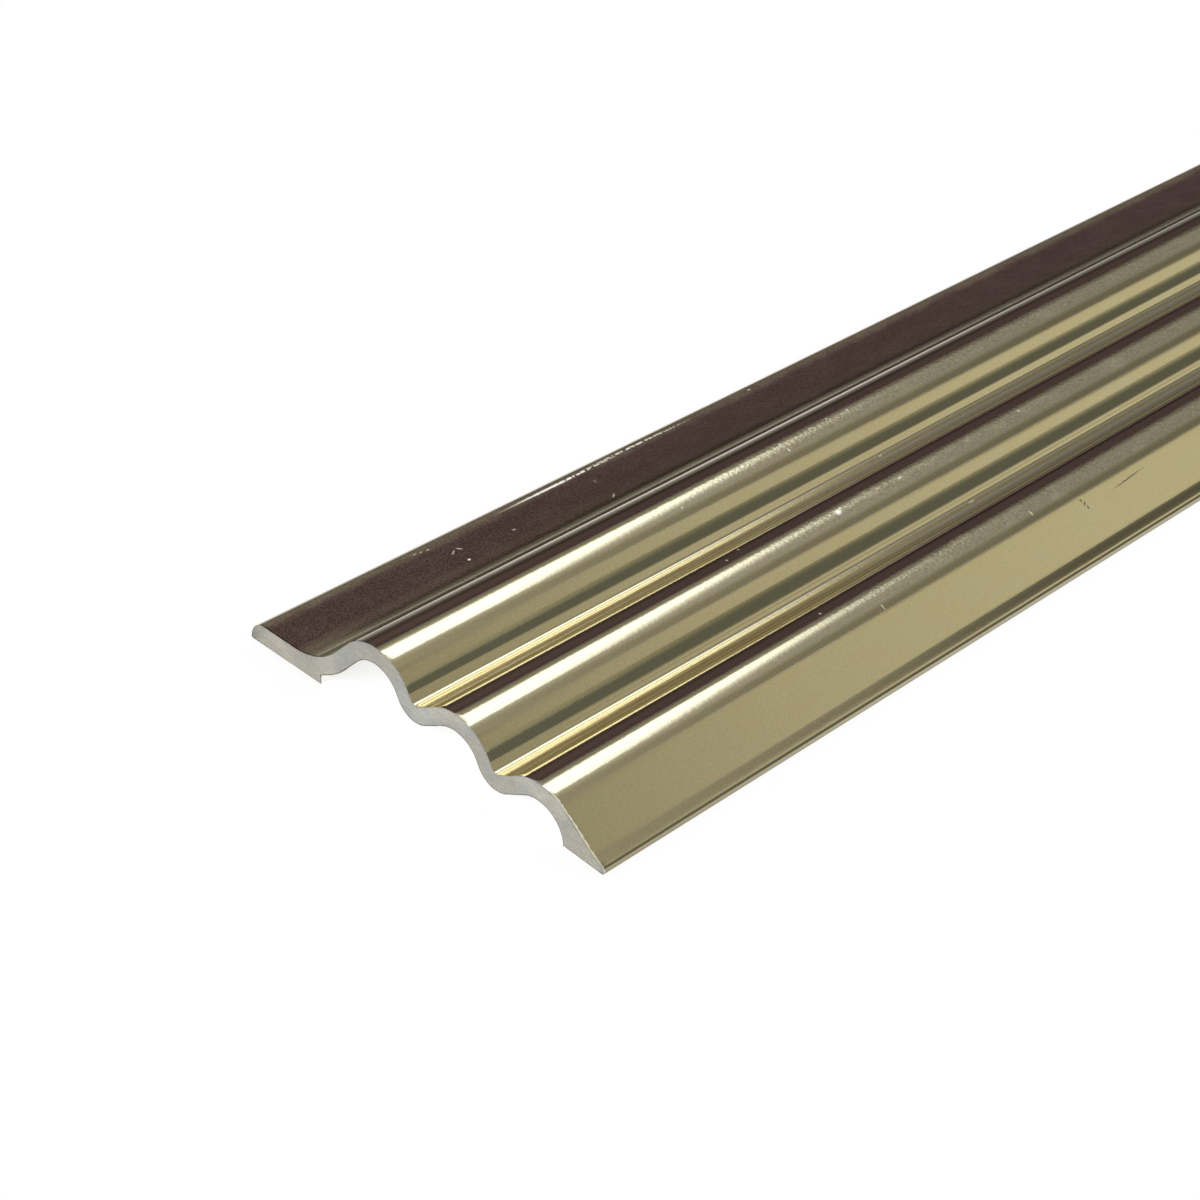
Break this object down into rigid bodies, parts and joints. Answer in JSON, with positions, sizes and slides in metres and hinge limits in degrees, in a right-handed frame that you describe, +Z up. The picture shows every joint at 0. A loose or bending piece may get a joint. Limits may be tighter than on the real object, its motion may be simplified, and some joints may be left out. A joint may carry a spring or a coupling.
{
  "type": "floor transition strip",
  "caption": "Extruded aluminium floor transition strip: a flat flange, ridges that step down, and a ramp that ends in a blunt nose.",
  "frame": {"origin": "middle of the strip's width and length, on the floor that it lies on", "axes": "+Z up, +X across the strip from the flange's tip towards the nose, +Y along the strip"},
  "size_m": [0.04, 0.9, 0.007],
  "materials": {
    "anodised_aluminium": "pale gold bright anodised on the extruded faces, bare sawn metal on the two cut ends"
  },
  "bodies": {
    "root": {"strip": "anodised_aluminium"}
  },
  "joints": []
}
